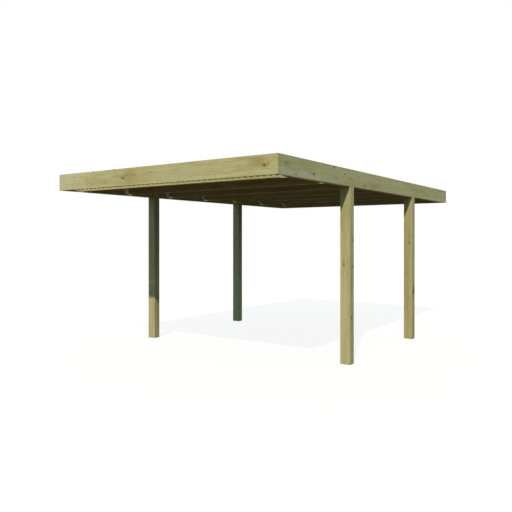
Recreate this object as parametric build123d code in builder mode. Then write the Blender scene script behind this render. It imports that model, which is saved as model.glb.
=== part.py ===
"""An open timber carport: a deep, flat frame on four notched posts.

Mitred fascia boards run round the frame. Side beams inside them, from the first rafter to
the rear, carry seven rafters on joist hangers, and corrugated sheets lie on the rafters. The
rafters climb a little towards the rear, so the roof drains to the open gap behind the front
fascia.

Frame: +X to the right, +Y to the rear, +Z up, origin at the middle of the base. Millimetres.
"""
from build123d import *
import os
from math import atan2, ceil, cos, degrees, radians, sin, tan

os.makedirs("parts", exist_ok=True)

# ---------------------------------------------------------------- driving dimensions
overall_width = 3200.0
overall_length = 5160.0
clear_height = 2025.0  # ground to the underside of the frame

frame_height = 195.0  # fascia boards and side beams
fascia_thickness = 28.0
beam_thickness = 45.0
board_arris = 1.2  # planed-off long edges of boards, beams and rafters

post_width = 125.0  # across the carport
post_depth = 100.0  # along it
post_arris = 3.0
tongue_height = 105.0  # part of the post that stands up behind the side beam

rafter_count = 7
rafter_thickness = 45.0
rafter_height = 120.0
rafter_end_gap = 2.0
front_gap = 207.0  # behind the front fascia, open to the sky
rear_gap = 8.0  # between the last rafter and the rear fascia
rear_rise = 42.0  # how much higher the last rafter lies than the first

hanger_plate = 2.0
hanger_height = 88.0  # above the rafter's underside
hanger_seat = 64.0  # along the rafter at the foot
hanger_throat = 15.0  # along the rafter above the foot
hanger_toe = 12.0  # upright edge at the tip of the foot
hanger_waist = 40.0  # where the foot's slope meets the throat
hanger_fold = 1.0  # inside radius of every fold, tighter than the arris it holds
wing_width = 60.0
wing_root = 6.0  # lower end of the wing's fold, above the foot
wing_drop = 37.0  # lower outer corner of the wing, above the foot
flange_gap = 2.0  # between the fascia and the flat flange on the beam's front end
flange_rise = 3.0  # lower edge of the flange, above the foot

rear_post_bay = 4  # the rear posts stand behind the fifth rafter
rear_post_gap = 37.0  # between that rafter and the posts

wave_pitch = 76.0
wave_depth = 18.0
flank_angle = radians(40.0)
sheet_thickness = 1.4
sheet_count = 3
lap_waves = 1
lap_gap = 0.2
sheet_overhang = 107.0  # in front of the first rafter
sheet_rear_gap = 6.0

# ---------------------------------------------------------------- sizes that follow
half_width = overall_width / 2
front_y = -overall_length / 2
rear_y = overall_length / 2

beam_inner_x = half_width - fascia_thickness - beam_thickness
first_face_y = front_y + fascia_thickness + front_gap
last_face_y = rear_y - fascia_thickness - rear_gap - rafter_thickness
rafter_spacing = (last_face_y - first_face_y) / (rafter_count - 1)
rise_per_bay = rear_rise / (rafter_count - 1)

wing_reach = rafter_thickness / 2 + hanger_plate + wing_width  # from the rafter's middle
flange_width = beam_thickness - flange_gap
wave_radius = (wave_pitch / 2 * tan(flank_angle) - wave_depth) / (2 / cos(flank_angle) - 2)
rear_post_y = first_face_y + rear_post_bay * rafter_spacing + rafter_thickness + rear_post_gap
post_overhang = rear_y - rear_post_y - post_depth
front_post_y = front_y + post_overhang

roof_waves = int(2 * beam_inner_x // wave_pitch)  # whole waves between the side beams
laid_waves = roof_waves + (sheet_count - 1) * lap_waves
full_sheet_waves = ceil(laid_waves / sheet_count)

SIDES = {"left": -1, "right": 1}
ENDS = {"front": front_post_y, "rear": rear_post_y}


def rafter_face_y(index):
    """Front face of a rafter, counted from the front."""
    return first_face_y + index * rafter_spacing


def rafter_base_z(index):
    """Underside of a rafter, counted from the front."""
    return clear_height + index * rise_per_bay


def at(coordinate, place):
    """Whether a coordinate lies at a place, to a hundredth of a millimetre."""
    return abs(coordinate - place) < 0.01


def plane_long_edges(board, grain):
    """Take the sharp arris off the edges that run along a board's grain."""
    chamfer(board.edges().filter_by(grain), length=board_arris)


def save(part, name):
    """Label a finished piece and write its STEP file."""
    part.label = name
    export_step(part, f"parts/{name}.step")


# ---------------------------------------------------------------- posts
# The outer part of each post stops under the fascia and the side beam, and its tongue runs
# on up behind the beam, which is bolted to it.
for end, post_y in ENDS.items():
    for side, direction in SIDES.items():
        outer_x = direction * half_width
        seat_x = direction * beam_inner_x
        inner_x = direction * (half_width - post_width)
        with BuildPart() as post:
            with BuildSketch(Plane.XZ.offset(-post_y)):
                with BuildLine():
                    Polyline(
                        (outer_x, 0),
                        (outer_x, clear_height),
                        (seat_x, clear_height),
                        (seat_x, clear_height + tongue_height),
                        (inner_x, clear_height + tongue_height),
                        (inner_x, 0),
                        close=True,
                    )
                make_face()
            extrude(amount=-post_depth)
            upright_edges = post.edges().filter_by(Axis.Z)
            corner_edges = [e for e in upright_edges if any(at(e.center().X, x) for x in (outer_x, inner_x))]
            chamfer(corner_edges, length=post_arris)
        save(post.part, f"post_{end}_{side}")


# ---------------------------------------------------------------- fascia boards
# Four boards, mitred where they meet.
def fascia(name, grain, start, end, inner_end, inner_start):
    """One fascia board from its plan outline."""
    with BuildPart() as board:
        with BuildSketch(Plane.XY.offset(clear_height)):
            with BuildLine():
                Polyline(start, end, inner_end, inner_start, close=True)
            make_face()
        extrude(amount=frame_height)
        plane_long_edges(board, grain)
    save(board.part, name)


inside_x = half_width - fascia_thickness
inside_front_y = front_y + fascia_thickness
inside_rear_y = rear_y - fascia_thickness

outer_corners = [(-half_width, front_y), (half_width, front_y), (half_width, rear_y), (-half_width, rear_y)]
inner_corners = [
    (-inside_x, inside_front_y),
    (inside_x, inside_front_y),
    (inside_x, inside_rear_y),
    (-inside_x, inside_rear_y),
]
for index, side in enumerate(("front", "right", "rear", "left")):
    following = (index + 1) % 4
    fascia(
        f"fascia_{side}",
        Axis.X if side in ENDS else Axis.Y,
        outer_corners[index],
        outer_corners[following],
        inner_corners[following],
        inner_corners[index],
    )


# ---------------------------------------------------------------- side beams
# They start flush with the first rafter's front face and run to the rear fascia.
beam_length = inside_rear_y - first_face_y
for side, direction in SIDES.items():
    beam_middle = (direction * (beam_inner_x + beam_thickness / 2), first_face_y + beam_length / 2)
    with BuildPart() as beam:
        with BuildSketch(Plane.XY.offset(clear_height)):
            with Locations(beam_middle):
                Rectangle(beam_thickness, beam_length)
        extrude(amount=frame_height)
        plane_long_edges(beam, Axis.Y)
    save(beam.part, f"side_beam_{side}")


# ---------------------------------------------------------------- rafters
for index in range(rafter_count):
    middle_y = rafter_face_y(index) + rafter_thickness / 2
    with BuildPart() as rafter:
        with BuildSketch(Plane.XY.offset(rafter_base_z(index))):
            with Locations((0, middle_y)):
                Rectangle(2 * (beam_inner_x - rafter_end_gap), rafter_thickness)
        extrude(amount=rafter_height)
        plane_long_edges(rafter, Axis.X)
    save(rafter.part, f"rafter_{index + 1}")


# ---------------------------------------------------------------- joist hangers
def wing_corners(root, tip):
    """The corners of a wing, from its root out to its tip and back."""
    return (root, wing_root), (tip, wing_drop), (tip, hanger_height), (root, hanger_height)


# Folded steel: a seat and two side plates round the rafter, and wings flat on the beam.
# The first pair has a flat flange over the beam's front end instead of a front wing. Where
# a post or the rear fascia stands close behind the rafter, there is no rear wing.
def hanger_part(direction, index):
    """The hanger at one end of a rafter."""
    face_x = direction * beam_inner_x
    base_z = rafter_base_z(index)
    middle_y = rafter_face_y(index) + rafter_thickness / 2
    inner_half = rafter_thickness / 2
    outer_half = inner_half + hanger_plate
    side_plane = Plane(origin=(face_x, middle_y, base_z), x_dir=(-direction, 0, 0), z_dir=(0, direction, 0))
    beam_plane = Plane(origin=(face_x, middle_y, base_z), x_dir=(0, -direction, 0), z_dir=(-direction, 0, 0))
    front_plane = side_plane.offset(-direction * inner_half)
    with BuildPart() as hanger:
        with BuildSketch(side_plane):
            with BuildLine():
                Polyline(
                    (0, -hanger_plate),
                    (hanger_seat, -hanger_plate),
                    (hanger_seat, hanger_toe),
                    (hanger_throat, hanger_waist),
                    (hanger_throat, hanger_height),
                    (0, hanger_height),
                    close=True,
                )
            make_face()
        extrude(amount=outer_half, both=True)
        with BuildSketch(side_plane):
            with Locations((hanger_seat / 2, hanger_height / 2)):
                Rectangle(hanger_seat, hanger_height)
        extrude(amount=inner_half, both=True, mode=Mode.SUBTRACT)
        lower_edges, seat_edges = hanger.edges().filter_by(Axis.X).group_by(Axis.Z)[:2]
        outer_folds = [e for e in lower_edges if at(abs(e.center().Y - middle_y), outer_half)]
        inner_folds = [e for e in seat_edges if at(abs(e.center().Y - middle_y), inner_half)]
        fillet(outer_folds, radius=hanger_fold + hanger_plate)
        fillet(inner_folds, radius=hanger_fold)
        wing_sides = []
        if index > 0:
            wing_sides.append(-1)
        if index not in (rear_post_bay, rafter_count - 1):
            wing_sides.append(1)
        if wing_sides:
            with BuildSketch(beam_plane):
                for wing_side in wing_sides:
                    outwards = -direction * wing_side
                    with BuildLine():
                        Polyline(*wing_corners(outwards * inner_half, outwards * wing_reach), close=True)
                    make_face()
            extrude(amount=hanger_plate)
            fold_x = face_x - direction * hanger_plate
            upright_edges = hanger.edges().filter_by(Axis.Z)
            wing_folds = [
                e
                for e in upright_edges
                if at(e.center().X, fold_x) and at(abs(e.center().Y - middle_y), outer_half)
            ]
            fillet(wing_folds, radius=hanger_fold)
        if index == 0:
            flange_height = hanger_height - flange_rise
            with BuildSketch(front_plane):
                with Locations((-flange_width / 2, flange_rise + flange_height / 2)):
                    Rectangle(flange_width, flange_height)
            extrude(amount=-direction * hanger_plate)
    return hanger.part


for side, direction in SIDES.items():
    for index in range(rafter_count):
        save(hanger_part(direction, index), f"hanger_{side}_{index + 1}")


# ---------------------------------------------------------------- corrugated sheets
# Each sheet is a run of smooth waves with its edges on crests, and the last may be cut
# narrower to fit. The middle sheet laps over the outer two by one wave. The troughs rest
# on the rafters.
roof_angle = atan2(rear_rise, last_face_y - first_face_y)
sheet_front_y = first_face_y - sheet_overhang
sheet_back_y = inside_rear_y - sheet_rear_gap
sheet_length = (sheet_back_y - sheet_front_y) / cos(roof_angle)
sheet_step = (full_sheet_waves - lap_waves) * wave_pitch
roof_half_width = roof_waves * wave_pitch / 2


def trough_z(y):
    """Height of the line that the troughs lie on, from one rafter's top front edge to the next."""
    first_top_z = rafter_base_z(0) + rafter_height
    first_edge_y = first_face_y + board_arris
    return first_top_z + (y - first_edge_y) * rear_rise / (last_face_y - first_face_y)


def wave_line(lift, sheet_waves):
    """The lower or upper line of one sheet, from its left edge to its right.

    Round crests and troughs of one radius are joined by straight flanks. Both edges are
    on crests, so the line begins and ends with half an arc.
    """
    bend_x = wave_radius * sin(flank_angle)
    bend_z = wave_radius * (1 - cos(flank_angle))
    crest_z = lift + wave_depth
    for wave in range(sheet_waves):
        crest_x = wave * wave_pitch
        trough_x = crest_x + wave_pitch / 2
        next_crest_x = crest_x + wave_pitch
        going_down = (crest_x + bend_x, crest_z - bend_z)
        low_left = (trough_x - bend_x, lift + bend_z)
        low_right = (trough_x + bend_x, lift + bend_z)
        going_up = (next_crest_x - bend_x, crest_z - bend_z)
        if wave == 0:
            RadiusArc((crest_x, crest_z), going_down, wave_radius)
        Line(going_down, low_left)
        ThreePointArc(low_left, (trough_x, lift), low_right)
        Line(low_right, going_up)
        if wave < sheet_waves - 1:
            ThreePointArc(going_up, (next_crest_x, crest_z), (next_crest_x + bend_x, crest_z - bend_z))
        else:
            RadiusArc(going_up, (next_crest_x, crest_z), wave_radius)


for index in range(sheet_count):
    lift = (index % 2) * (sheet_thickness + lap_gap)
    left_x = -roof_half_width + index * sheet_step
    sheet_waves = min(full_sheet_waves, laid_waves - index * full_sheet_waves)
    rear_plane = Plane(
        origin=(left_x, sheet_back_y, trough_z(sheet_back_y) + lift),
        x_dir=(1, 0, 0),
        z_dir=(0, -cos(roof_angle), -sin(roof_angle)),
    )
    right_edge_x = sheet_waves * wave_pitch
    with BuildPart() as sheet:
        with BuildSketch(rear_plane):
            with BuildLine():
                wave_line(0, sheet_waves)
                wave_line(sheet_thickness, sheet_waves)
                Line((0, wave_depth), (0, wave_depth + sheet_thickness))
                Line((right_edge_x, wave_depth), (right_edge_x, wave_depth + sheet_thickness))
            make_face()
        extrude(amount=sheet_length)
    save(sheet.part, f"roof_sheet_{index + 1}")

print("rafter spacing", round(rafter_spacing, 1), "post overhang", round(post_overhang, 1))
print("roof fall", round(degrees(roof_angle), 2), "degrees, sheets", round(2 * roof_half_width), "wide")
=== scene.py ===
"""An open timber carport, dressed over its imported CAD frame.

The posts, boards, beams, rafters, joist hangers and corrugated sheets come from the frame.
This script gives each of them its finish, adds the small fixings, and sets the studio.
"""
import logging
import math
from abc import ABC, abstractmethod
from dataclasses import dataclass
from enum import Enum
from typing import ClassVar

import bpy
import numpy as np
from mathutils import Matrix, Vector

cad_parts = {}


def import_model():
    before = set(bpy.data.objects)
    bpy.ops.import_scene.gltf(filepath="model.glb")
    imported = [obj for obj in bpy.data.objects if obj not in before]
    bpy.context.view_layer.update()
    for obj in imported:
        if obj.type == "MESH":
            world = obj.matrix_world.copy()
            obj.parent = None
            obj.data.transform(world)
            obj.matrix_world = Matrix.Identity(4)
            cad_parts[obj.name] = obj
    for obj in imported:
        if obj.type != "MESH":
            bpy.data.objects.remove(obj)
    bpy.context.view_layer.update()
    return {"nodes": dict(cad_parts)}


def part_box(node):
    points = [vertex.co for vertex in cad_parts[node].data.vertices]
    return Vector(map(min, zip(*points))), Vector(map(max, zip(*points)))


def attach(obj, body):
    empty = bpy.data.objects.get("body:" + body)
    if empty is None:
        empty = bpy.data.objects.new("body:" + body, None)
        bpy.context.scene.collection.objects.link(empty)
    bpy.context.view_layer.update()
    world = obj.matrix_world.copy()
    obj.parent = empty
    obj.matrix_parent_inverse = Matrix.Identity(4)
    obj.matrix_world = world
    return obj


LOG = logging.getLogger("carport")
MM = 0.001
BODY = "root"
Nodes = dict[str, bpy.types.Object]
Tree = bpy.types.NodeTree
Socket = bpy.types.NodeSocket
Inputs = dict[int | str, object]
Colour = tuple[float, float, float, float]
Triple = tuple[float, float, float]
Pairs = tuple[tuple[float, float], ...]
SIDES = {"left": -1.0, "right": 1.0}
ENDS = ("front", "rear")
MIX_A, MIX_B, MIXED = 6, 7, 2  # a Mix node's two colours and its result, by socket number


def linear(code: str, share: float = 1.0) -> Colour:
    """Turn an sRGB hex code into opaque linear light.

    Args:
        code: Six hex digits.
        share: How much of that light to keep, which is over 1 for a lighter tone.

    Returns:
        Red, green and blue in linear light, and an alpha of 1.
    """
    channels = [int(code[i : i + 2], 16) / 255 for i in (0, 2, 4)]
    light = [c / 12.92 if c <= 0.04045 else ((c + 0.055) / 1.055) ** 2.4 for c in channels]
    red, green, blue = (share * c for c in light)
    return (red, green, blue, 1.0)


def add_node(
    tree: Tree, kind: str, inputs: Inputs | None = None, **settings: object
) -> bpy.types.Node:
    """Add one node with its settings and links.

    Args:
        tree: The node tree to add to.
        kind: Blender's name for the node type, without its ShaderNode start.
        inputs: Socket name or number to a value, or to an output socket to link from.
        **settings: Properties of the node itself, such as an operation.

    Returns:
        The new node.
    """
    node = tree.nodes.new(f"ShaderNode{kind}")
    for name, value in settings.items():
        setattr(node, name, value)
    for key, value in (inputs or {}).items():
        if isinstance(value, bpy.types.NodeSocket):
            tree.links.new(value, node.inputs[key])
        else:
            node.inputs[key].default_value = value
    return node


def new_material(name: str) -> tuple[bpy.types.Material, Tree]:
    """Make an empty node material.

    Args:
        name: The material's name.

    Returns:
        The material and its cleared node tree.
    """
    material = bpy.data.materials.new(name)
    material.use_nodes = True
    material.node_tree.nodes.clear()
    return material, material.node_tree


def dress(node: bpy.types.Object, material: bpy.types.Material) -> None:
    """Give every material slot of a CAD node one finish.

    Args:
        node: The CAD node.
        material: Its finish.
    """
    for slot in node.material_slots:
        slot.material = material
    LOG.info("%s: %s", node.name, material.name)


def middle(name: str) -> Vector:
    """Find the middle of a CAD node.

    Args:
        name: The node's name.

    Returns:
        The middle of its box.
    """
    low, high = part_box(name)
    return (low + high) / 2


class Axis(Enum):
    """A direction of the shared frame, by its number."""

    X = 0
    Y = 1
    Z = 2

    def others(self) -> list[int]:
        """The numbers of the two other directions, in order."""
        return [axis.value for axis in Axis if axis is not self]


class Tint(Enum):
    """How a patch of wood differs from the wood round it."""

    BROWN = "resin and swirled grain"
    PALE = "washed out by rain and sun"


# ------------------------------------------------------------------------- finishes
class Finish(ABC):
    """A finish, whose pattern follows the place on the object."""

    def build(self, name: str) -> bpy.types.Material:
        """Make the material.

        Args:
            name: The material's name.

        Returns:
            The finished material.
        """
        material, tree = new_material(name)
        position = add_node(tree, "TexCoord").outputs["Object"]
        shader = add_node(tree, "BsdfPrincipled", self._surface(tree, position))
        add_node(tree, "OutputMaterial", {"Surface": shader.outputs[0]})
        return material

    @abstractmethod
    def _surface(self, tree: Tree, position: Socket) -> Inputs:
        """Lay out what the finish looks like.

        Args:
            tree: The material's node tree.
            position: Place on the object, in metres.

        Returns:
            The shader's inputs by name.
        """


@dataclass(frozen=True)
class Palette:
    """The three tones that a board's grain runs through, as sRGB hex codes.

    Attributes:
        pale: Between the streaks.
        mid: Where they begin.
        deep: In the streaks.
    """

    pale: str = "bab388"
    mid: str = "ada673"
    deep: str = "978c58"


@dataclass(frozen=True)
class Knot:
    """A branch knot that runs through a board.

    Attributes:
        along: Place along the grain from the board's middle, in metres.
        across: Place across the face from the board's middle, in metres.
        radius: Radius of the dark core, in metres.
        through: 1 or 2, the across direction that the knot runs through the board in.
        dark: How far the core takes its dark tone, from 0 to 1.
    """

    along: float
    across: float
    radius: float
    through: int = 1
    dark: float = 0.9


@dataclass(frozen=True)
class Stain:
    """A soft, ragged patch of another tone.

    Attributes:
        along: Place along the grain from the board's middle, in metres.
        across: Place across the face from the board's middle, in metres.
        length: Half its length along the grain, in metres.
        height: Half its height across the face, in metres.
        strength: How far the wood takes the other tone, from 0 to 1.
        tint: The other tone.
        through: 1 or 2, the across direction that the patch runs through the board in.
    """

    along: float
    across: float
    length: float
    height: float
    strength: float
    tint: Tint = Tint.BROWN
    through: int = 1


@dataclass(frozen=True)
class Oval:
    """A soft-edged oval, which masks a mark on a board.

    Attributes:
        length: Half its size along the grain.
        height: Half its size across the face.
        solid: Share of the way out that it covers fully.
        ragged: How far noise moves its edge, as a share of the way out.
    """

    length: float
    height: float
    solid: float = 0.0
    ragged: float = 0.0


@dataclass(frozen=True)
class Streak:
    """Noise that is drawn out along the grain.

    Attributes:
        length: Size of one streak along the grain, in metres.
        width: Size of it across the grain, in metres.
        detail: How many finer layers it has.
        weight: Its share in the tone of the wood.
    """

    length: float
    width: float
    detail: float
    weight: float = 1.0


@dataclass(frozen=True)
class Marks:
    """Masks of a board's marks, from 0 to 1: a plain 0 where it has none.

    Attributes:
        core: The dark middles of the knots.
        swirl: The grain that bends round the knots.
        brown: Resin round the knots, and brown patches.
        pale: Washed-out patches.
    """

    core: Socket | float
    swirl: Socket | float
    brown: Socket | float
    pale: Socket | float


@dataclass(frozen=True)
class TreatedPine(Finish):
    """Planed pine, pressure-treated with a copper salt that leaves a green tint.

    The eye sees pale straw-green wood with long soft streaks, growth rings that widen into
    arches where the cut lies along them, and small dark knots with brown round them.

    Attributes:
        grain: The direction that the piece runs in.
        middle: The middle of the piece, which the marks are placed from.
        seed: Picks the piece's own stretch of noise, and so its own cut.
        knots: Its knots.
        stains: Its patches.
        palette: Its three tones.
        brown: The tone of resin and of brown patches.
        washed: The tone of washed-out patches.
        core: The tone of a knot's middle.
        pith_depth: How far behind the board's middle the tree's pith lay.
        ring_pitch: Width of a year's growth.
    """

    grain: Axis
    middle: Vector
    seed: int
    knots: tuple[Knot, ...]
    stains: tuple[Stain, ...]
    palette: Palette
    brown: str = "8f7842"
    washed: str = "c2bb98"
    core: str = "484225"
    pith_depth: float = 80 * MM
    ring_pitch: float = 12 * MM

    # What every piece shares. Ovals round a knot are in radii of the knot.
    core_oval: ClassVar[Oval] = Oval(1.35, 1.05, solid=0.3)
    swirl_oval: ClassVar[Oval] = Oval(9.0, 4.0, solid=0.1)
    resin_oval: ClassVar[Oval] = Oval(4.2, 2.4, solid=0.2, ragged=0.8)
    resin_strength: ClassVar[float] = 0.6
    stain_ragged: ClassVar[float] = 1.4

    bands: ClassVar[tuple[Streak, ...]] = (
        Streak(1.4, 110 * MM, 2.0, 0.7),
        Streak(0.45, 22 * MM, 3.0, 0.5),
        Streak(0.17, 8 * MM, 3.0, 0.45),
    )
    # Real fibres are finer. These are as coarse as they need to be to show.
    fibre: ClassVar[Streak] = Streak(70 * MM, 1.6 * MM, 2.0, 0.2)
    edges: ClassVar[Streak] = Streak(90 * MM, 30 * MM, 3.0)
    wander: ClassVar[Streak] = Streak(1.1, 0.4, 1.0)
    noise_middle: ClassVar[float] = 0.5
    noise_reach: ClassVar[float] = 40.0  # far more than a board's length, so none share noise
    tone_offset: ClassVar[float] = -0.38  # brings the summed streaks to the middle tone
    tone_stops: ClassVar[Triple] = (0.25, 0.5, 0.75)
    late_weight: ClassVar[float] = -0.2
    late_power: ClassVar[float] = 3.0
    wander_reach: ClassVar[float] = 150 * MM
    swirl_reach: ClassVar[float] = 20 * MM
    pith_spread: ClassVar[float] = 30 * MM  # to either side of the board's middle
    relief: ClassVar[float] = 0.25 * MM  # height of the fibres and ring edges of planed wood

    def _surface(self, tree: Tree, position: Socket) -> Inputs:
        """Streaks, growth rings and fibres, with the marks laid over them.

        The tone is the streaks, the fibre and the late wood, each times its weight, added up,
        plus an offset. The late wood and the fibre also stand up a little.

        Args:
            tree: The material's node tree.
            position: Place on the object, in metres.

        Returns:
            The shader's inputs by name.
        """
        centred = add_node(
            tree, "VectorMath", {0: position, 1: self.middle}, operation="SUBTRACT"
        ).outputs[0]
        split = add_node(tree, "SeparateXYZ", {0: centred})
        lanes = [split.outputs[axis] for axis in (self.grain.value, *self.grain.others())]
        board = add_node(tree, "CombineXYZ", dict(enumerate(lanes))).outputs[0]
        rng = np.random.default_rng(self.seed)
        shift = rng.uniform(-self.noise_reach, self.noise_reach, 3)
        pith_across = float(rng.uniform(-self.pith_spread, self.pith_spread))
        shifted = add_node(tree, "VectorMath", {0: board, 1: shift}, operation="ADD").outputs[0]

        marks = self._marks(tree, lanes, shifted)
        late = self._late_wood(tree, board, shifted, marks.swirl, pith_across)
        fibre = self._noise(tree, shifted, self.fibre)
        parts = [(self._noise(tree, shifted, band), band.weight) for band in self.bands]
        parts += [(fibre, self.fibre.weight), (late, self.late_weight)]
        tone: Socket | float = self.tone_offset
        for part, weight in parts:
            tone = add_node(
                tree, "Math", {0: part, 1: weight, 2: tone}, operation="MULTIPLY_ADD"
            ).outputs[0]
        rough = add_node(tree, "Math", {0: late, 1: fibre}, operation="ADD").outputs[0]
        bump = add_node(tree, "Bump", {"Height": rough, "Strength": 0.35, "Distance": self.relief})
        return {
            "Base Color": self._colour(tree, tone, marks),
            "Roughness": 0.8,
            "IOR": 1.45,
            "Specular IOR Level": 0.12,
            "Normal": bump.outputs[0],
        }

    @staticmethod
    def _noise(tree: Tree, shifted: Socket, streak: Streak) -> Socket:
        """Noise from 0 to 1 on the place divided by the streak's length and width.

        Args:
            tree: The material's node tree.
            shifted: Place on the board, moved to its own stretch of noise.
            streak: The size and detail of the noise.

        Returns:
            The noise.
        """
        scale = (1 / streak.length, 1 / streak.width, 1 / streak.width)
        drawn = add_node(tree, "VectorMath", {0: shifted, 1: scale}, operation="MULTIPLY")
        noise = {"Vector": drawn.outputs[0], "Scale": 1.0, "Detail": streak.detail}
        return add_node(tree, "TexNoise", noise).outputs["Fac"]

    def _late_wood(
        self, tree: Tree, board: Socket, shifted: Socket, swirl: Socket | float, pith_across: float
    ) -> Socket:
        """The dark late wood of the growth rings.

        Rings are circles round a pith that lies behind the board. The radius is the distance
        from the pith across the grain, plus noise, so that the pith wanders, plus the swirl,
        so that rings bend round knots. The share of the way through a ring, cubed, is near 0
        in its early wood and rises to 1 at its dark edge.

        Args:
            tree: The material's node tree.
            board: Place along the grain and in the two across directions.
            shifted: The same, moved to the board's own stretch of noise.
            swirl: Mask of the grain that bends round the knots.
            pith_across: How far to the side of the board's middle the pith lay.

        Returns:
            The late wood, from 0 to 1.
        """
        pith = (0.0, self.pith_depth, pith_across)
        from_pith = add_node(tree, "VectorMath", {0: board, 1: pith}, operation="ADD").outputs[0]
        flat = add_node(
            tree, "VectorMath", {0: from_pith, 1: (0.0, 1.0, 1.0)}, operation="MULTIPLY"
        ).outputs[0]
        radius = add_node(tree, "VectorMath", {0: flat}, operation="LENGTH").outputs["Value"]
        wander = self._noise(tree, shifted, self.wander)
        for part, reach in ((wander, self.wander_reach), (swirl, self.swirl_reach)):
            radius = add_node(
                tree, "Math", {0: part, 1: reach, 2: radius}, operation="MULTIPLY_ADD"
            ).outputs[0]
        level = self.noise_middle * self.wander_reach
        radius = add_node(tree, "Math", {0: radius, 1: level}, operation="SUBTRACT").outputs[0]
        rings = add_node(tree, "Math", {0: radius, 1: self.ring_pitch}, operation="DIVIDE")
        share = add_node(tree, "Math", {0: rings.outputs[0]}, operation="FRACT").outputs[0]
        return add_node(tree, "Math", {0: share, 1: self.late_power}, operation="POWER").outputs[0]

    def _colour(self, tree: Tree, tone: Socket, marks: Marks) -> Socket:
        """The wood's colour: the grain's three tones, with the marks laid over them in turn.

        Args:
            tree: The material's node tree.
            tone: The sum of the streaks, from 0 to 1.
            marks: Masks of the marks.

        Returns:
            The colour.
        """
        ramp = add_node(tree, "ValToRGB", {0: tone})
        deep, mid, pale = self.tone_stops
        stops = ramp.color_ramp.elements
        stops[0].position, stops[0].color = deep, linear(self.palette.deep)
        stops[1].position, stops[1].color = pale, linear(self.palette.pale)
        stops.new(mid).color = linear(self.palette.mid)
        colour = ramp.outputs[0]
        layers = ((marks.pale, self.washed), (marks.brown, self.brown), (marks.core, self.core))
        for mask, code in layers:
            tones = {0: mask, MIX_A: colour, MIX_B: linear(code)}
            colour = add_node(tree, "Mix", tones, data_type="RGBA").outputs[MIXED]
        return colour

    def _marks(self, tree: Tree, lanes: list[Socket], shifted: Socket) -> Marks:
        """Masks of the knots and patches. Where marks of one kind overlap, the strongest shows.

        Args:
            tree: The material's node tree.
            lanes: Place along the grain and in the two across directions.
            shifted: The same, moved to the board's own stretch of noise.

        Returns:
            The masks.
        """
        noise = self._noise(tree, shifted, self.edges)
        edge = add_node(
            tree, "Math", {0: noise, 1: self.noise_middle}, operation="SUBTRACT"
        ).outputs[0]

        def mask(mark: Knot | Stain, oval: Oval, unit: float, strength: float) -> Socket:
            """Mask one oval, carried right through the board.

            The reach is the length of (along / half length, across / half height), measured
            from the mark's place, plus noise. The mask is 1 inside the oval's solid part and
            falls smoothly to 0 where the reach is 1.

            Args:
                mark: The knot or patch, which gives the place.
                oval: The shape.
                unit: The length that the oval's sizes are in.
                strength: Height of the mask.

            Returns:
                The mask.
            """
            across = lanes[2] if mark.through == 1 else lanes[1]
            point = add_node(tree, "CombineXYZ", {0: lanes[0], 1: across}).outputs[0]
            place = (mark.along, mark.across, 0.0)
            offset = add_node(
                tree, "VectorMath", {0: point, 1: place}, operation="SUBTRACT"
            ).outputs[0]
            shrink = (1 / (unit * oval.length), 1 / (unit * oval.height), 0.0)
            scaled = add_node(
                tree, "VectorMath", {0: offset, 1: shrink}, operation="MULTIPLY"
            ).outputs[0]
            reach = add_node(tree, "VectorMath", {0: scaled}, operation="LENGTH").outputs["Value"]
            if oval.ragged:
                reach = add_node(
                    tree, "Math", {0: edge, 1: oval.ragged, 2: reach}, operation="MULTIPLY_ADD"
                ).outputs[0]
            fade = {"Value": reach, "From Min": oval.solid, "To Min": strength, "To Max": 0.0}
            return add_node(tree, "MapRange", fade, interpolation_type="SMOOTHSTEP").outputs[0]

        def strongest(masks: list[Socket]) -> Socket | float:
            """Take the strongest of some masks at each point.

            Args:
                masks: The masks.

            Returns:
                The largest, or a plain 0 where there are none.
            """
            largest: Socket | float = 0.0
            for one in masks:
                largest = add_node(
                    tree, "Math", {0: largest, 1: one}, operation="MAXIMUM"
                ).outputs[0]
            return largest

        cores = [mask(knot, self.core_oval, knot.radius, knot.dark) for knot in self.knots]
        swirls = [mask(knot, self.swirl_oval, knot.radius, 1.0) for knot in self.knots]
        tints: dict[Tint, list[Socket]] = {tint: [] for tint in Tint}
        for knot in self.knots:
            tints[Tint.BROWN].append(mask(knot, self.resin_oval, knot.radius, self.resin_strength))
        for stain in self.stains:
            oval = Oval(stain.length, stain.height, ragged=self.stain_ragged)
            tints[stain.tint].append(mask(stain, oval, 1.0, stain.strength))
        brown, pale = strongest(tints[Tint.BROWN]), strongest(tints[Tint.PALE])
        return Marks(strongest(cores), strongest(swirls), brown, pale)


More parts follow.
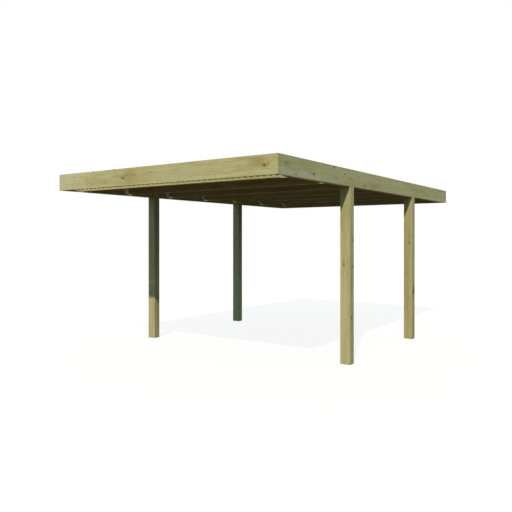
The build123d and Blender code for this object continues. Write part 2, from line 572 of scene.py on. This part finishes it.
@dataclass(frozen=True)
class GalvanisedSteel(Finish):
    """Hot-dip galvanised sheet steel, weathered dull: soft grey zinc with a faint spangle.

    A thin dull coat hides some of the metal's mirror, so the zinc is not fully metallic.

    Attributes:
        zinc: The tone of the brightest crystals.
        dull_share: How much light the dullest crystals keep of that.
        metallic: How far the surface is bare metal.
        roughness: Of the brightest and of the dullest crystals.
        spangle_size: Width of one crystal.
        cloud_size: Width of one weathered patch.
    """

    zinc: str = "c2c39f"
    dull_share: float = 0.72
    metallic: float = 0.85
    roughness: tuple[float, float] = (0.48, 0.75)
    spangle_size: float = 9 * MM
    cloud_size: float = 71.4 * MM

    def _surface(self, tree: Tree, position: Socket) -> Inputs:
        """Crystals of the spangle, duller in the weathered patches.

        Args:
            tree: The material's node tree.
            position: Place on the object, in metres.

        Returns:
            The shader's inputs by name.
        """
        cells = add_node(tree, "TexVoronoi", {"Vector": position, "Scale": 1 / self.spangle_size})
        grey = add_node(tree, "RGBToBW", {0: cells.outputs["Color"]}).outputs[0]
        clouds = {"Vector": position, "Scale": 1 / self.cloud_size, "Detail": 4.0}
        cloud = add_node(tree, "TexNoise", clouds).outputs["Fac"]
        dull = add_node(tree, "Math", {0: grey, 1: cloud}, operation="MULTIPLY").outputs[0]
        bright, matt = self.roughness
        polish = add_node(tree, "MapRange", {"Value": dull, "To Min": bright, "To Max": matt})
        tones = {0: dull, MIX_A: linear(self.zinc), MIX_B: linear(self.zinc, self.dull_share)}
        tint = add_node(tree, "Mix", tones, data_type="RGBA")
        bump = add_node(tree, "Bump", {"Height": grey, "Strength": 0.15, "Distance": 0.1 * MM})
        return {
            "Base Color": tint.outputs[MIXED],
            "Metallic": self.metallic,
            "Roughness": polish.outputs[0],
            "Normal": bump.outputs[0],
        }


@dataclass(frozen=True)
class WasherRubber(Finish):
    """Moulded EPDM rubber of the roofing screws' washers: black-brown, matt, a little grainy.

    Attributes:
        colour: The clean rubber.
        dust_share: How much more light the dusty grains give back.
        grit: Width of one grain, which is coarser than a real one, so that it shows.
    """

    colour: str = "2c2b29"
    dust_share: float = 1.9
    grit: float = 0.8 * MM

    def _surface(self, tree: Tree, position: Socket) -> Inputs:
        """Moulded rubber with dust in its grain.

        Args:
            tree: The material's node tree.
            position: Place on the object, in metres.

        Returns:
            The shader's inputs by name.
        """
        grains = {"Vector": position, "Scale": 1 / self.grit}
        grain = add_node(tree, "TexNoise", grains).outputs["Fac"]
        dusty = linear(self.colour, self.dust_share)
        tones = {0: grain, MIX_A: linear(self.colour), MIX_B: dusty}
        tint = add_node(tree, "Mix", tones, data_type="RGBA").outputs[MIXED]
        bump = add_node(tree, "Bump", {"Height": grain, "Strength": 0.3, "Distance": 0.1 * MM})
        return {"Base Color": tint, "Roughness": 0.85, "Normal": bump.outputs[0]}


@dataclass(frozen=True)
class RoofSheet(Finish):
    """Opaque extruded PVC sheet in dark grey, satin, with dust along the troughs.

    Attributes:
        wave_pitch: Distance from crest to crest.
        colour: The clean sheet.
        dust: The dusty sheet.
        roughness: Of the clean and of the dusty sheet.
        patch_width: Width of a patch of dust.
        patch_length: Its length down the fall.
    """

    wave_pitch: float
    colour: str = "4d4b47"
    dust: str = "6b6961"
    roughness: tuple[float, float] = (0.45, 0.75)
    patch_width: float = 111 * MM
    patch_length: float = 625 * MM

    def _surface(self, tree: Tree, position: Socket) -> Inputs:
        """Plain sheet, with patches of dust that thicken towards the troughs.

        Args:
            tree: The material's node tree.
            position: Place on the object, in metres.

        Returns:
            The shader's inputs by name.
        """
        scale = (1 / self.patch_width, 1 / self.patch_length, 1 / self.patch_width)
        drawn = add_node(tree, "VectorMath", {0: position, 1: scale}, operation="MULTIPLY")
        patches = {"Vector": drawn.outputs[0], "Scale": 1.0, "Detail": 4.0}
        cloud = add_node(tree, "TexNoise", patches).outputs["Fac"]
        across = add_node(tree, "SeparateXYZ", {0: position}).outputs[0]
        # A cosine of the place across is 1 on a crest and -1 in a trough, where dust gathers.
        turn = add_node(
            tree, "Math", {0: across, 1: 2 * math.pi / self.wave_pitch}, operation="MULTIPLY"
        ).outputs[0]
        crest = add_node(tree, "Math", {0: turn}, operation="COSINE").outputs[0]
        trough = add_node(tree, "MapRange", {"Value": crest, "From Min": 1.0, "From Max": -1.0})
        dusty = add_node(
            tree, "Math", {0: trough.outputs[0], 1: cloud}, operation="MULTIPLY"
        ).outputs[0]
        tones = {0: dusty, MIX_A: linear(self.colour), MIX_B: linear(self.dust)}
        tint = add_node(tree, "Mix", tones, data_type="RGBA").outputs[MIXED]
        clean, matt = self.roughness
        gloss = add_node(tree, "MapRange", {"Value": dusty, "To Min": clean, "To Max": matt})
        return {"Base Color": tint, "Roughness": gloss.outputs[0]}


# ------------------------------------------------------------------------- studio
@dataclass(frozen=True)
class Lamp:
    """A far lamp.

    Attributes:
        name: Its name.
        towards: The direction that it stands in.
        strength: Its strength.
        spread: How wide it looks, in degrees.
    """

    name: str
    towards: Triple
    strength: float
    spread: float


@dataclass
class Studio:
    """The camera, the lights, the floor and the world.

    Attributes:
        camera_place: Where the camera stands.
        camera_turn: How far it is turned to the left of the rear.
        lens: Focal length in millimetres.
        sensor: Width of its sensor in millimetres.
        shift_y: How far its frame is shifted, as a share of its width.
        lamps: The key is small enough to give the eaves a clean shadow. The fill is broad,
            and lights only the two sides that the key leaves in shade.
        lamp_colour: The tone of both.
        sky_strength: Strength of the sky.
        sky_colour: Its tone.
        ground_colour: The tone of the light that the floor throws back up.
        floor_half: Half the width of the floor.
        floor_colour: The tone of the floor where it is lit.
        floor_shadow: How far the floor shows the shadow.
    """

    camera_place: Triple = (4.417, -6.987, 1.438)
    camera_turn: float = math.radians(34.8)
    lens: float = 40.18
    sensor: float = 36.0
    shift_y: float = -0.0348
    lamps: tuple[Lamp, ...] = (
        Lamp("key", (0.41, -1.049, 1.0), strength=3.41, spread=0.8),
        Lamp("fill", (-0.75, 0.80, 0.30), strength=1.2, spread=40.0),
    )
    lamp_colour: str = "fff1e1"
    sky_strength: float = 0.76
    sky_colour: str = "bde8ff"
    ground_colour: str = "534539"
    floor_half: float = 60.0
    floor_colour: str = "fff3e4"
    floor_shadow: float = 0.12

    def build(self) -> None:
        """Set up everything round the object."""
        self._camera()
        for lamp in self.lamps:
            self._light(lamp)
        self._world()
        self._floor()
        bpy.context.scene.view_settings.view_transform = "Standard"
        LOG.info("studio ready")

    def _camera(self) -> None:
        """A level camera, turned to the left, with its frame shifted down a little."""
        data = bpy.data.cameras.new("camera")
        data.lens = self.lens
        data.sensor_width = self.sensor
        data.shift_y = self.shift_y
        camera = bpy.data.objects.new("camera", data)
        camera.location = self.camera_place
        camera.rotation_euler = (math.radians(90), 0.0, self.camera_turn)
        bpy.context.scene.collection.objects.link(camera)
        bpy.context.scene.camera = camera

    def _light(self, lamp: Lamp) -> None:
        """Add one lamp to the scene.

        Args:
            lamp: The lamp.
        """
        data = bpy.data.lights.new(lamp.name, "SUN")
        data.energy = lamp.strength
        data.angle = math.radians(lamp.spread)
        data.color = linear(self.lamp_colour)[:3]
        light = bpy.data.objects.new(lamp.name, data)
        light.rotation_euler = Vector(lamp.towards).to_track_quat("Z", "Y").to_euler()
        bpy.context.scene.collection.objects.link(light)

    @staticmethod
    def _background_rays(tree: Tree) -> Socket:
        """Find the rays that show the plain background: camera, glossy and transmission.

        Args:
            tree: The node tree of the world or of the floor.

        Returns:
            1 for those rays, and 0 for the rest.
        """
        path = add_node(tree, "LightPath")
        shown = path.outputs["Is Camera Ray"]
        for ray in ("Is Glossy Ray", "Is Transmission Ray"):
            shown = add_node(
                tree, "Math", {0: shown, 1: path.outputs[ray]}, operation="MAXIMUM"
            ).outputs[0]
        return shown

    def _world(self) -> None:
        """A pale sky for the fill, and plain white wherever a ray shows the background."""
        world = bpy.data.worlds.new("studio")
        bpy.context.scene.world = world
        world.use_nodes = True
        tree = world.node_tree
        tree.nodes.clear()
        sky = {"Color": linear(self.sky_colour), "Strength": self.sky_strength}
        fill = add_node(tree, "Background", sky).outputs[0]
        white = add_node(tree, "Background", {"Color": linear("ffffff")}).outputs[0]
        mixed = add_node(tree, "MixShader", {0: self._background_rays(tree), 1: fill, 2: white})
        add_node(tree, "OutputWorld", {"Surface": mixed.outputs[0]})

    def _floor(self) -> None:
        """A wide pale floor that keeps a faint shadow and throws a little warm light back up."""
        corners = self.floor_half * np.array([(-1, -1, 0), (1, -1, 0), (1, 1, 0), (-1, 1, 0)])
        mesh = bpy.data.meshes.new("floor")
        mesh.from_pydata(corners.tolist(), [], [(0, 1, 2, 3)])
        floor = bpy.data.objects.new("floor", mesh)
        bpy.context.scene.collection.objects.link(floor)
        material, tree = new_material("white_floor")
        seen = add_node(tree, "Emission", {"Color": linear("ffffff")}).outputs[0]
        shaded = add_node(tree, "BsdfDiffuse", {"Color": linear(self.floor_colour)}).outputs[0]
        pale = add_node(tree, "MixShader", {0: self.floor_shadow, 1: seen, 2: shaded}).outputs[0]
        warm = add_node(tree, "BsdfDiffuse", {"Color": linear(self.ground_colour)}).outputs[0]
        mixed = add_node(tree, "MixShader", {0: self._background_rays(tree), 1: warm, 2: pale})
        add_node(tree, "OutputMaterial", {"Surface": mixed.outputs[0]})
        mesh.materials.append(material)


# ------------------------------------------------------------------------- the carport
@dataclass
class Timberwork:
    """The posts, fascia boards, side beams and rafters of the frame.

    Knots and stains stand where they show on each piece. They go right through it, so they
    show on its far face too.

    Attributes:
        nodes: The CAD nodes.
        kinds: How the names of its pieces start.
        knots: The knots of each piece that has any.
        stains: Its patches.
        palettes: The tones of a piece that differs from the rest. On rafter_1 the paler,
        bluer tones are partly the board's own tone and partly painted light: they stand
        in for sky light that its sunlit front strip, deep behind the front fascia, lacks.
    """

    nodes: Nodes

    kinds: ClassVar[tuple[str, ...]] = ("post", "fascia", "side_beam", "rafter")
    knots: ClassVar[dict[str, tuple[Knot, ...]]] = {
        "fascia_front": (
            Knot(-0.459, -0.011, 15 * MM),
            Knot(-0.428, 0.006, 6 * MM),
            Knot(-0.402, 0.019, 5 * MM),
            Knot(-0.492, -0.008, 5 * MM),
            Knot(1.448, -0.004, 16 * MM),
            Knot(1.418, 0.012, 6 * MM),
            Knot(1.486, 0.006, 6 * MM),
            Knot(-1.181, 0.045, 5 * MM),
            Knot(-1.108, 0.006, 5 * MM),
            Knot(-0.756, -0.041, 7 * MM),
            Knot(-1.530, 0.002, 4 * MM),
            Knot(-0.973, 0.092, 7 * MM),
            Knot(-0.604, 0.090, 7 * MM),
        ),
        "fascia_right": (
            Knot(-1.906, -0.038, 14 * MM),
            Knot(-1.456, 0.083, 12 * MM),
            Knot(-1.201, 0.027, 8 * MM),
            Knot(-0.841, 0.025, 9 * MM),
            Knot(-1.404, -0.033, 7 * MM),
            Knot(-2.259, -0.070, 7 * MM),
            Knot(-2.212, -0.035, 5 * MM),
            Knot(-0.669, -0.066, 14 * MM),
            Knot(0.407, 0.077, 10 * MM),
            Knot(1.404, 0.011, 11 * MM),
            Knot(0.161, 0.023, 6 * MM),
        ),
        "post_front_right": (
            Knot(0.353, 0.026, 18 * MM),
            Knot(0.047, 0.030, 16 * MM),
            Knot(-0.530, -0.015, 14 * MM),
            Knot(0.895, 0.008, 6 * MM),
            Knot(-0.894, -0.002, 5 * MM),
            Knot(0.073, -0.018, 13 * MM, through=2, dark=0.4),
        ),
        "post_rear_right": (
            Knot(-0.371, 0.016, 36 * MM, dark=1.0),
            Knot(-0.330, 0.012, 20 * MM, dark=1.0),
            Knot(-0.420, 0.006, 20 * MM, dark=1.0),
            Knot(0.309, 0.018, 14 * MM, through=2, dark=0.4),
        ),
        "post_front_left": (
            Knot(-0.42, -0.01, 9 * MM, through=2),
            Knot(0.21, 0.012, 8 * MM),
        ),
        "post_rear_left": (
            Knot(0.36, 0.015, 8 * MM, through=2),
            Knot(-0.25, -0.02, 10 * MM),
        ),
        "fascia_left": (
            Knot(-1.87, 0.031, 12 * MM),
            Knot(-0.92, -0.046, 9 * MM),
            Knot(0.34, 0.052, 13 * MM),
            Knot(1.22, -0.018, 10 * MM),
            Knot(2.05, 0.040, 8 * MM),
        ),
        "fascia_rear": (
            Knot(-1.13, -0.035, 13 * MM),
            Knot(-0.21, 0.048, 9 * MM),
            Knot(0.66, 0.008, 11 * MM),
            Knot(1.31, -0.050, 8 * MM),
        ),
    }
    stains: ClassVar[dict[str, tuple[Stain, ...]]] = {
        "fascia_front": (
            Stain(-0.36, 0.03, 0.17, 0.12, 0.5),
            Stain(-0.14, 0.02, 0.09, 0.07, 0.25),
            Stain(1.36, 0.035, 0.18, 0.08, 0.55),
            Stain(1.50, 0.005, 0.05, 0.02, 0.4),
            Stain(1.18, -0.01, 0.12, 0.05, 0.2),
            Stain(-1.55, 0.0, 0.80, 0.18, 0.7, Tint.PALE),
            Stain(-0.75, 0.02, 0.30, 0.05, 0.4, Tint.PALE),
            Stain(0.45, 0.0, 0.95, 0.18, 0.32, Tint.PALE),
        ),
        "fascia_right": (
            Stain(-2.43, 0.016, 0.08, 0.045, 0.8),
            Stain(-1.96, -0.035, 0.09, 0.03, 0.35),
            Stain(-0.42, -0.05, 0.36, 0.06, 0.5),
            Stain(-2.15, -0.06, 0.9, 0.06, 0.6, Tint.PALE),
            Stain(-1.60, 0.0, 0.7, 0.12, 0.25, Tint.PALE),
            Stain(0.75, -0.02, 0.9, 0.10, 0.3, Tint.PALE),
        ),
        "fascia_left": (
            Stain(0.46, 0.04, 0.22, 0.06, 0.45),
            Stain(-1.75, 0.0, 0.6, 0.12, 0.4, Tint.PALE),
        ),
        "fascia_rear": (
            Stain(-1.02, -0.03, 0.2, 0.06, 0.4),
            Stain(0.9, 0.02, 0.5, 0.1, 0.4, Tint.PALE),
        ),
        "post_front_right": (
            Stain(0.10, -0.020, 0.10, 0.022, 0.35, through=2),
            Stain(0.56, -0.042, 0.15, 0.022, 0.35, through=2),
            Stain(0.38, 0.035, 0.35, 0.05, 0.35, Tint.PALE, through=2),
            Stain(-0.55, -0.02, 0.45, 0.05, 0.2, Tint.PALE, through=2),
        ),
        "post_rear_right": (
            Stain(0.40, 0.022, 0.12, 0.025, 0.35, through=2),
            Stain(0.14, 0.015, 0.14, 0.022, 0.35, through=2),
            Stain(-0.10, -0.012, 0.18, 0.025, 0.35, through=2),
            Stain(-0.48, 0.004, 0.22, 0.03, 0.35, through=2),
        ),
    }
    palettes: ClassVar[dict[str, Palette]] = {
        # rafter_1: partly its own paler tone, partly painted light for sky light missing on its
        # sunlit strip
        "rafter_1": Palette("c5c398", "b8b584", "a59e6c"),
        "post_rear_right": Palette("b7b083", "a9a16d", "948955"),
    }

    def dress_all(self) -> None:
        """Give each piece of timber its own cut of the same wood, along its longest side."""
        names = sorted(name for name in self.nodes if name.startswith(self.kinds))
        for seed, name in enumerate(names):
            low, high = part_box(name)
            finish = TreatedPine(
                Axis(int(np.argmax(high - low))),
                middle(name),
                seed,
                self.knots.get(name, ()),
                self.stains.get(name, ()),
                self.palettes.get(name, Palette()),
            )
            dress(self.nodes[name], finish.build(f"treated_pine_{name}"))


@dataclass(frozen=True)
class Head:
    """The head or washer of a fixing: a profile turned about the fixing's own axis.

    Attributes:
        profile: Radius and height pairs in millimetres, from the foot up the outside to the
            top. The foot lies a little below the surface that it stands on.
        sides: Number of flats round it, which is 6 for a hexagon.
    """

    profile: Pairs
    sides: int

    def shape(self) -> tuple[np.ndarray, np.ndarray, np.ndarray]:
        """The head, standing on the origin and pointing along Z.

        Corner (i, j) lies at the radius and height of profile pair i, at the angle
        2 pi j / sides. Quads join each ring to the next, round to where they began, and one
        flat face closes the foot and another the top.

        Returns:
            The corners in metres, the quads, and the two closing faces.
        """
        radius, height = MM * np.array(self.profile).T[:, :, None]
        turn = np.arange(self.sides)
        angle = 2 * np.pi * turn / self.sides
        x, y, z = np.broadcast_arrays(radius * np.cos(angle), radius * np.sin(angle), height)
        corners = np.stack([x, y, z], axis=-1).reshape(-1, 3)
        row = np.arange(len(self.profile) - 1)[:, None] * self.sides
        near, far = row + turn, row + np.roll(turn, -1)
        quads = np.stack([near, far, far + self.sides, near + self.sides], axis=-1)
        ends = np.stack([turn[::-1], turn + len(corners) - self.sides])
        return corners, quads.reshape(-1, 4), ends


@dataclass(frozen=True)
class Fixing:
    """One kind of fixing, set at many places and joined into one piece.

    Attributes:
        heads: Its shapes, one on another, such as a washer and a hexagon.
        material: The finish.
        slot: Name of a material slot, which is not used.
        nearly_upright: An outward direction with more Z than this takes X as its guide.
    """

    heads: tuple[Head, ...]
    material: bpy.types.Material
    slot: str = "galvanised_steel"
    nearly_upright: ClassVar[float] = 0.9

    def set_all(self, name: str, places: np.ndarray, outward: np.ndarray) -> None:
        """Make the joined piece.

        A corner (x, y, z) of a head goes to place + x side + y up + z outward. Side, up and
        outward are unit directions at right angles, and side and up are turned about outward
        by a different angle at each place, as driven fixings are.

        Args:
            name: The piece's name.
            places: A point on the surface for each fixing.
            outward: The direction that each points in.
        """
        outward = outward / np.linalg.norm(outward, axis=1, keepdims=True)
        upward = np.abs(outward[:, 2:]) > self.nearly_upright
        guide = np.where(upward, (1.0, 0.0, 0.0), (0.0, 0.0, 1.0))
        level = np.cross(guide, outward)
        level /= np.linalg.norm(level, axis=1, keepdims=True)
        upright = np.cross(outward, level)
        angle = np.random.default_rng(len(places)).uniform(0, 2 * np.pi, (len(places), 1))
        side = np.cos(angle) * level + np.sin(angle) * upright
        frames = np.stack([side, np.cross(outward, side), outward], axis=1)

        corners: list[list[float]] = []
        faces: list[list[int]] = []
        for head in self.heads:
            shape, quads, ends = head.shape()
            first = len(corners) + np.arange(len(places))[:, None, None] * len(shape)
            corners += (places[:, None] + shape @ frames).reshape(-1, 3).tolist()
            faces += (first + quads).reshape(-1, 4).tolist()
            faces += (first + ends).reshape(-1, head.sides).tolist()
        mesh = bpy.data.meshes.new(name)
        mesh.from_pydata(corners, [], faces)
        mesh.materials.append(self.material)
        piece = bpy.data.objects.new(name, mesh)
        bpy.context.scene.collection.objects.link(piece)
        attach(piece, BODY)
        LOG.info("%s: %d fixings, %d faces", name, len(places), len(faces))


@dataclass
class JoistHangers:
    """The folded hangers that carry the rafters, and the twist nails that hold them.

    Attributes:
        nodes: The CAD nodes.
        steel: Their finish.
        plate: Thickness of the sheet steel.
        least_reach: A hanger has a wing or a flange where it reaches further than this past
            the rafter or past the beam's inner face.
        cheek_nails: Distance from the beam and height above the seat, on the rafter's sides.
        wing_nails: Distance from the rafter and height, on the wings against the beam.
        flange_nails: Distance across and height, on the flat flange over the beam's front end.
        nail_head: Shape of a nail's head. The nails' places are in millimetres too.
    """

    nodes: Nodes
    steel: bpy.types.Material
    plate: float = 2 * MM
    least_reach: float = 10 * MM
    cheek_nails: Pairs = ((7.5, 78), (7.5, 59), (27, 20), (48, 9))
    wing_nails: Pairs = ((14, 76), (14, 52), (14, 28), (38, 76), (38, 52))
    flange_nails: Pairs = ((12, 22), (31, 22), (12, 66), (31, 66))
    nail_head: Head = Head(((4.2, -0.2), (4.2, 0.7), (3.3, 1.2), (1.6, 1.4)), 10)

    def build(self) -> None:
        """Dress the hangers and drive the nails."""
        nails: list[tuple[Triple, Triple]] = []
        for name in self.nodes:
            if name.startswith("hanger"):
                dress(self.nodes[name], self.steel)
                nails += self._nails(name)
        places, outward = (np.array(column) for column in zip(*nails))
        Fixing((self.nail_head,), self.steel).set_all("hanger_nails", places, outward)

    def _nails(self, name: str) -> list[tuple[Triple, Triple]]:
        """Where one hanger's nails go.

        Args:
            name: The hanger's node, which ends in its side and the number of its rafter.

        Returns:
            A point on the steel and an outward direction for each nail.
        """
        _, side, number = name.split("_")
        sign = SIDES[side]
        rafter_low, rafter_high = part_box(f"rafter_{number}")
        beam_low, beam_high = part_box(f"side_beam_{side}")
        low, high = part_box(name)
        face_x = beam_low.x if sign > 0 else beam_high.x
        seat_z = rafter_low.z
        nails: list[tuple[Triple, Triple]] = []
        for way, cheek_y, edge_y in ((-1.0, rafter_low.y, low.y), (1.0, rafter_high.y, high.y)):
            steel_y = cheek_y + way * self.plate
            for across, height in self.cheek_nails:
                point = (face_x - sign * across * MM, steel_y, seat_z + height * MM)
                nails.append((point, (0.0, way, 0.0)))
            if abs(edge_y - cheek_y) > self.least_reach:
                steel_x = face_x - sign * self.plate
                for across, height in self.wing_nails:
                    point = (steel_x, cheek_y + way * across * MM, seat_z + height * MM)
                    nails.append((point, (-sign, 0.0, 0.0)))
        outer_x = high.x if sign > 0 else low.x
        if abs(outer_x - face_x) > self.least_reach:
            steel_y = rafter_low.y - self.plate
            for across, height in self.flange_nails:
                point = (face_x + sign * across * MM, steel_y, seat_z + height * MM)
                nails.append((point, (0.0, -1.0, 0.0)))
        return nails


@dataclass
class CoachScrews:
    """The coach screws through each post's tongue into the side beam, two to a post.

    They are M8: a small hexagon over a plain washer.

    Attributes:
        steel: Their finish.
        heights: Heights above the beam's underside.
        stagger: How far each stands from the middle of the post, to either side.
        washer: Shape of the washer.
        hexagon: Shape of the head on it.
    """

    steel: bpy.types.Material
    heights: tuple[float, float] = (32 * MM, 74 * MM)
    stagger: float = 20 * MM
    washer: Head = Head(((8.4, -0.2), (8.4, 1.2), (8.0, 1.6)), 20)
    hexagon: Head = Head(((7.4, 1.4), (7.4, 6.0), (6.4, 7.0)), 6)

    def build(self) -> None:
        """Drive the coach screws."""
        places, outward = [], []
        for side, sign in SIDES.items():
            beam_low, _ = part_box(f"side_beam_{side}")
            for end in ENDS:
                post = f"post_{end}_{side}"
                low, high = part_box(post)
                inner_x = low.x if sign > 0 else high.x
                for height, way in zip(self.heights, (-1, 1)):
                    y = middle(post).y + way * self.stagger
                    places.append((inner_x, y, beam_low.z + height))
                    outward.append((-sign, 0.0, 0.0))
        screws = Fixing((self.washer, self.hexagon), self.steel)
        screws.set_all("post_coach_screws", np.array(places), np.array(outward))


@dataclass
class BeamScrews:
    """The pan-head screws through each side beam into its fascia, from the inside.

    Attributes:
        nodes: The CAD nodes.
        steel: Their finish.
        shares: Where they stand in a bay, as shares of the way from rafter to rafter.
        heights: Heights above the beam's underside.
        clear: How far a screw keeps from a post.
        pan: Shape of a screw's head, with the recess in its top.
    """

    nodes: Nodes
    steel: bpy.types.Material
    shares: tuple[float, float] = (0.28, 0.72)
    heights: tuple[float, float] = (32 * MM, 92 * MM)
    clear: float = 15 * MM
    pan: Head = Head(((5.0, -0.2), (5.0, 0.9), (4.0, 2.0), (2.2, 2.3), (2.0, 1.1)), 12)

    def build(self) -> None:
        """Drive the screws, leaving out those that a post would cover."""
        rafters = sorted(name for name in self.nodes if name.startswith("rafter"))
        middles = np.array([middle(name).y for name in rafters])
        shares = np.array(self.shares)
        along = (middles[:-1, None] * (1 - shares) + middles[1:, None] * shares).ravel()
        heights = np.array(self.heights)
        places, outward = [], []
        for side, sign in SIDES.items():
            beam_low, beam_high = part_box(f"side_beam_{side}")
            face_x = beam_low.x if sign > 0 else beam_high.x
            open_here = np.ones(len(along), bool)
            for end in ENDS:
                low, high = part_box(f"post_{end}_{side}")
                open_here &= (along < low.y - self.clear) | (along > high.y + self.clear)
            y, z = np.meshgrid(along[open_here], beam_low.z + heights)
            places.append(np.stack([np.full(y.size, face_x), y.ravel(), z.ravel()], axis=1))
            outward.append(np.tile((-sign, 0.0, 0.0), (y.size, 1)))
        screws = Fixing((self.pan,), self.steel)
        screws.set_all("beam_screws", np.concatenate(places), np.concatenate(outward))


@dataclass
class Roofing:
    """The corrugated sheets and the screws that hold them down to the rafters.

    Attributes:
        nodes: The CAD nodes.
        steel: The finish of the screws.
        wave_pitch: Distance from crest to crest.
        wave_rise: Height of a sheet's crest top above its trough's underside.
        crests_apart: The screws stand on every second crest.
        no_sheet: The height given where there is no sheet, which is below them all.
        washer: Shape of a screw's washer, which seats round the crest.
        hexagon: Shape of the head on it.
    """

    nodes: Nodes
    steel: bpy.types.Material
    wave_pitch: float = 76 * MM
    wave_rise: float = 19.4 * MM
    crests_apart: int = 2
    no_sheet: float = -1.0
    washer: Head = Head(((9.5, -1.6), (9.5, 0.4), (7.5, 1.8), (5.0, 2.2)), 14)
    hexagon: Head = Head(((5.0, 1.8), (5.0, 5.0), (4.3, 5.6)), 6)

    def build(self) -> None:
        """Dress the sheets and drive the screws."""
        finish = RoofSheet(self.wave_pitch).build("pvc_corrugated_sheet")
        sheets = [name for name in self.nodes if name.startswith("roof_sheet")]
        rafters = [name for name in self.nodes if name.startswith("rafter")]
        for name in sheets:
            dress(self.nodes[name], finish)
        middles = np.array([middle(name).y for name in rafters])
        edge = max(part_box(name)[1].x for name in sheets)
        # A crest runs down the middle of the roof, so the rows of screws count from there.
        step = self.crests_apart * self.wave_pitch
        reach = int((edge - self.wave_pitch / 2) // step)
        crests = step * np.arange(-reach, reach + 1)
        x, y = (grid.ravel() for grid in np.meshgrid(crests, middles))
        tops = np.stack([self._crest_top(name, x, y) for name in sheets])
        places = np.stack([x, y, tops.max(axis=0)], axis=1)
        outward = np.tile((0.0, -self._fall(sheets[0]), 1.0), (len(places), 1))
        rubber = WasherRubber().build("epdm_rubber")
        washers = Fixing((self.washer,), rubber, "roof_sheet")
        washers.set_all("roof_screw_washers", places, outward)
        Fixing((self.hexagon,), self.steel).set_all("roof_screws", places, outward)

    def _fall(self, name: str) -> float:
        """How much a sheet rises for each metre towards the rear."""
        low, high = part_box(name)
        return (high.z - low.z - self.wave_rise) / (high.y - low.y)

    def _crest_top(self, name: str, x: np.ndarray, y: np.ndarray) -> np.ndarray:
        """Height of a sheet's crests at each point, or far below where it doesn't reach.

        The crests run straight from the rear edge, whose top is the top of the sheet's box,
        and drop by the fall times the distance from it.

        Args:
            name: The sheet's node.
            x: Places across the roof.
            y: Places along it.

        Returns:
            A height for each place.
        """
        low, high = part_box(name)
        top = high.z - self._fall(name) * (high.y - y)
        return np.where((x > low.x) & (x < high.x), top, self.no_sheet)


def main(nodes: Nodes) -> None:
    """Dress the frame, drive its fixings and set the studio.

    Args:
        nodes: The CAD nodes by name.
    """
    logging.basicConfig(level=logging.INFO, format="%(name)s: %(message)s")
    Studio().build()
    Timberwork(nodes).dress_all()
    steel = GalvanisedSteel().build("galvanised_steel")
    JoistHangers(nodes, steel).build()
    CoachScrews(steel).build()
    BeamScrews(nodes, steel).build()
    Roofing(nodes, steel).build()


if __name__ == "__main__":
    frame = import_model()
    main(frame["nodes"])
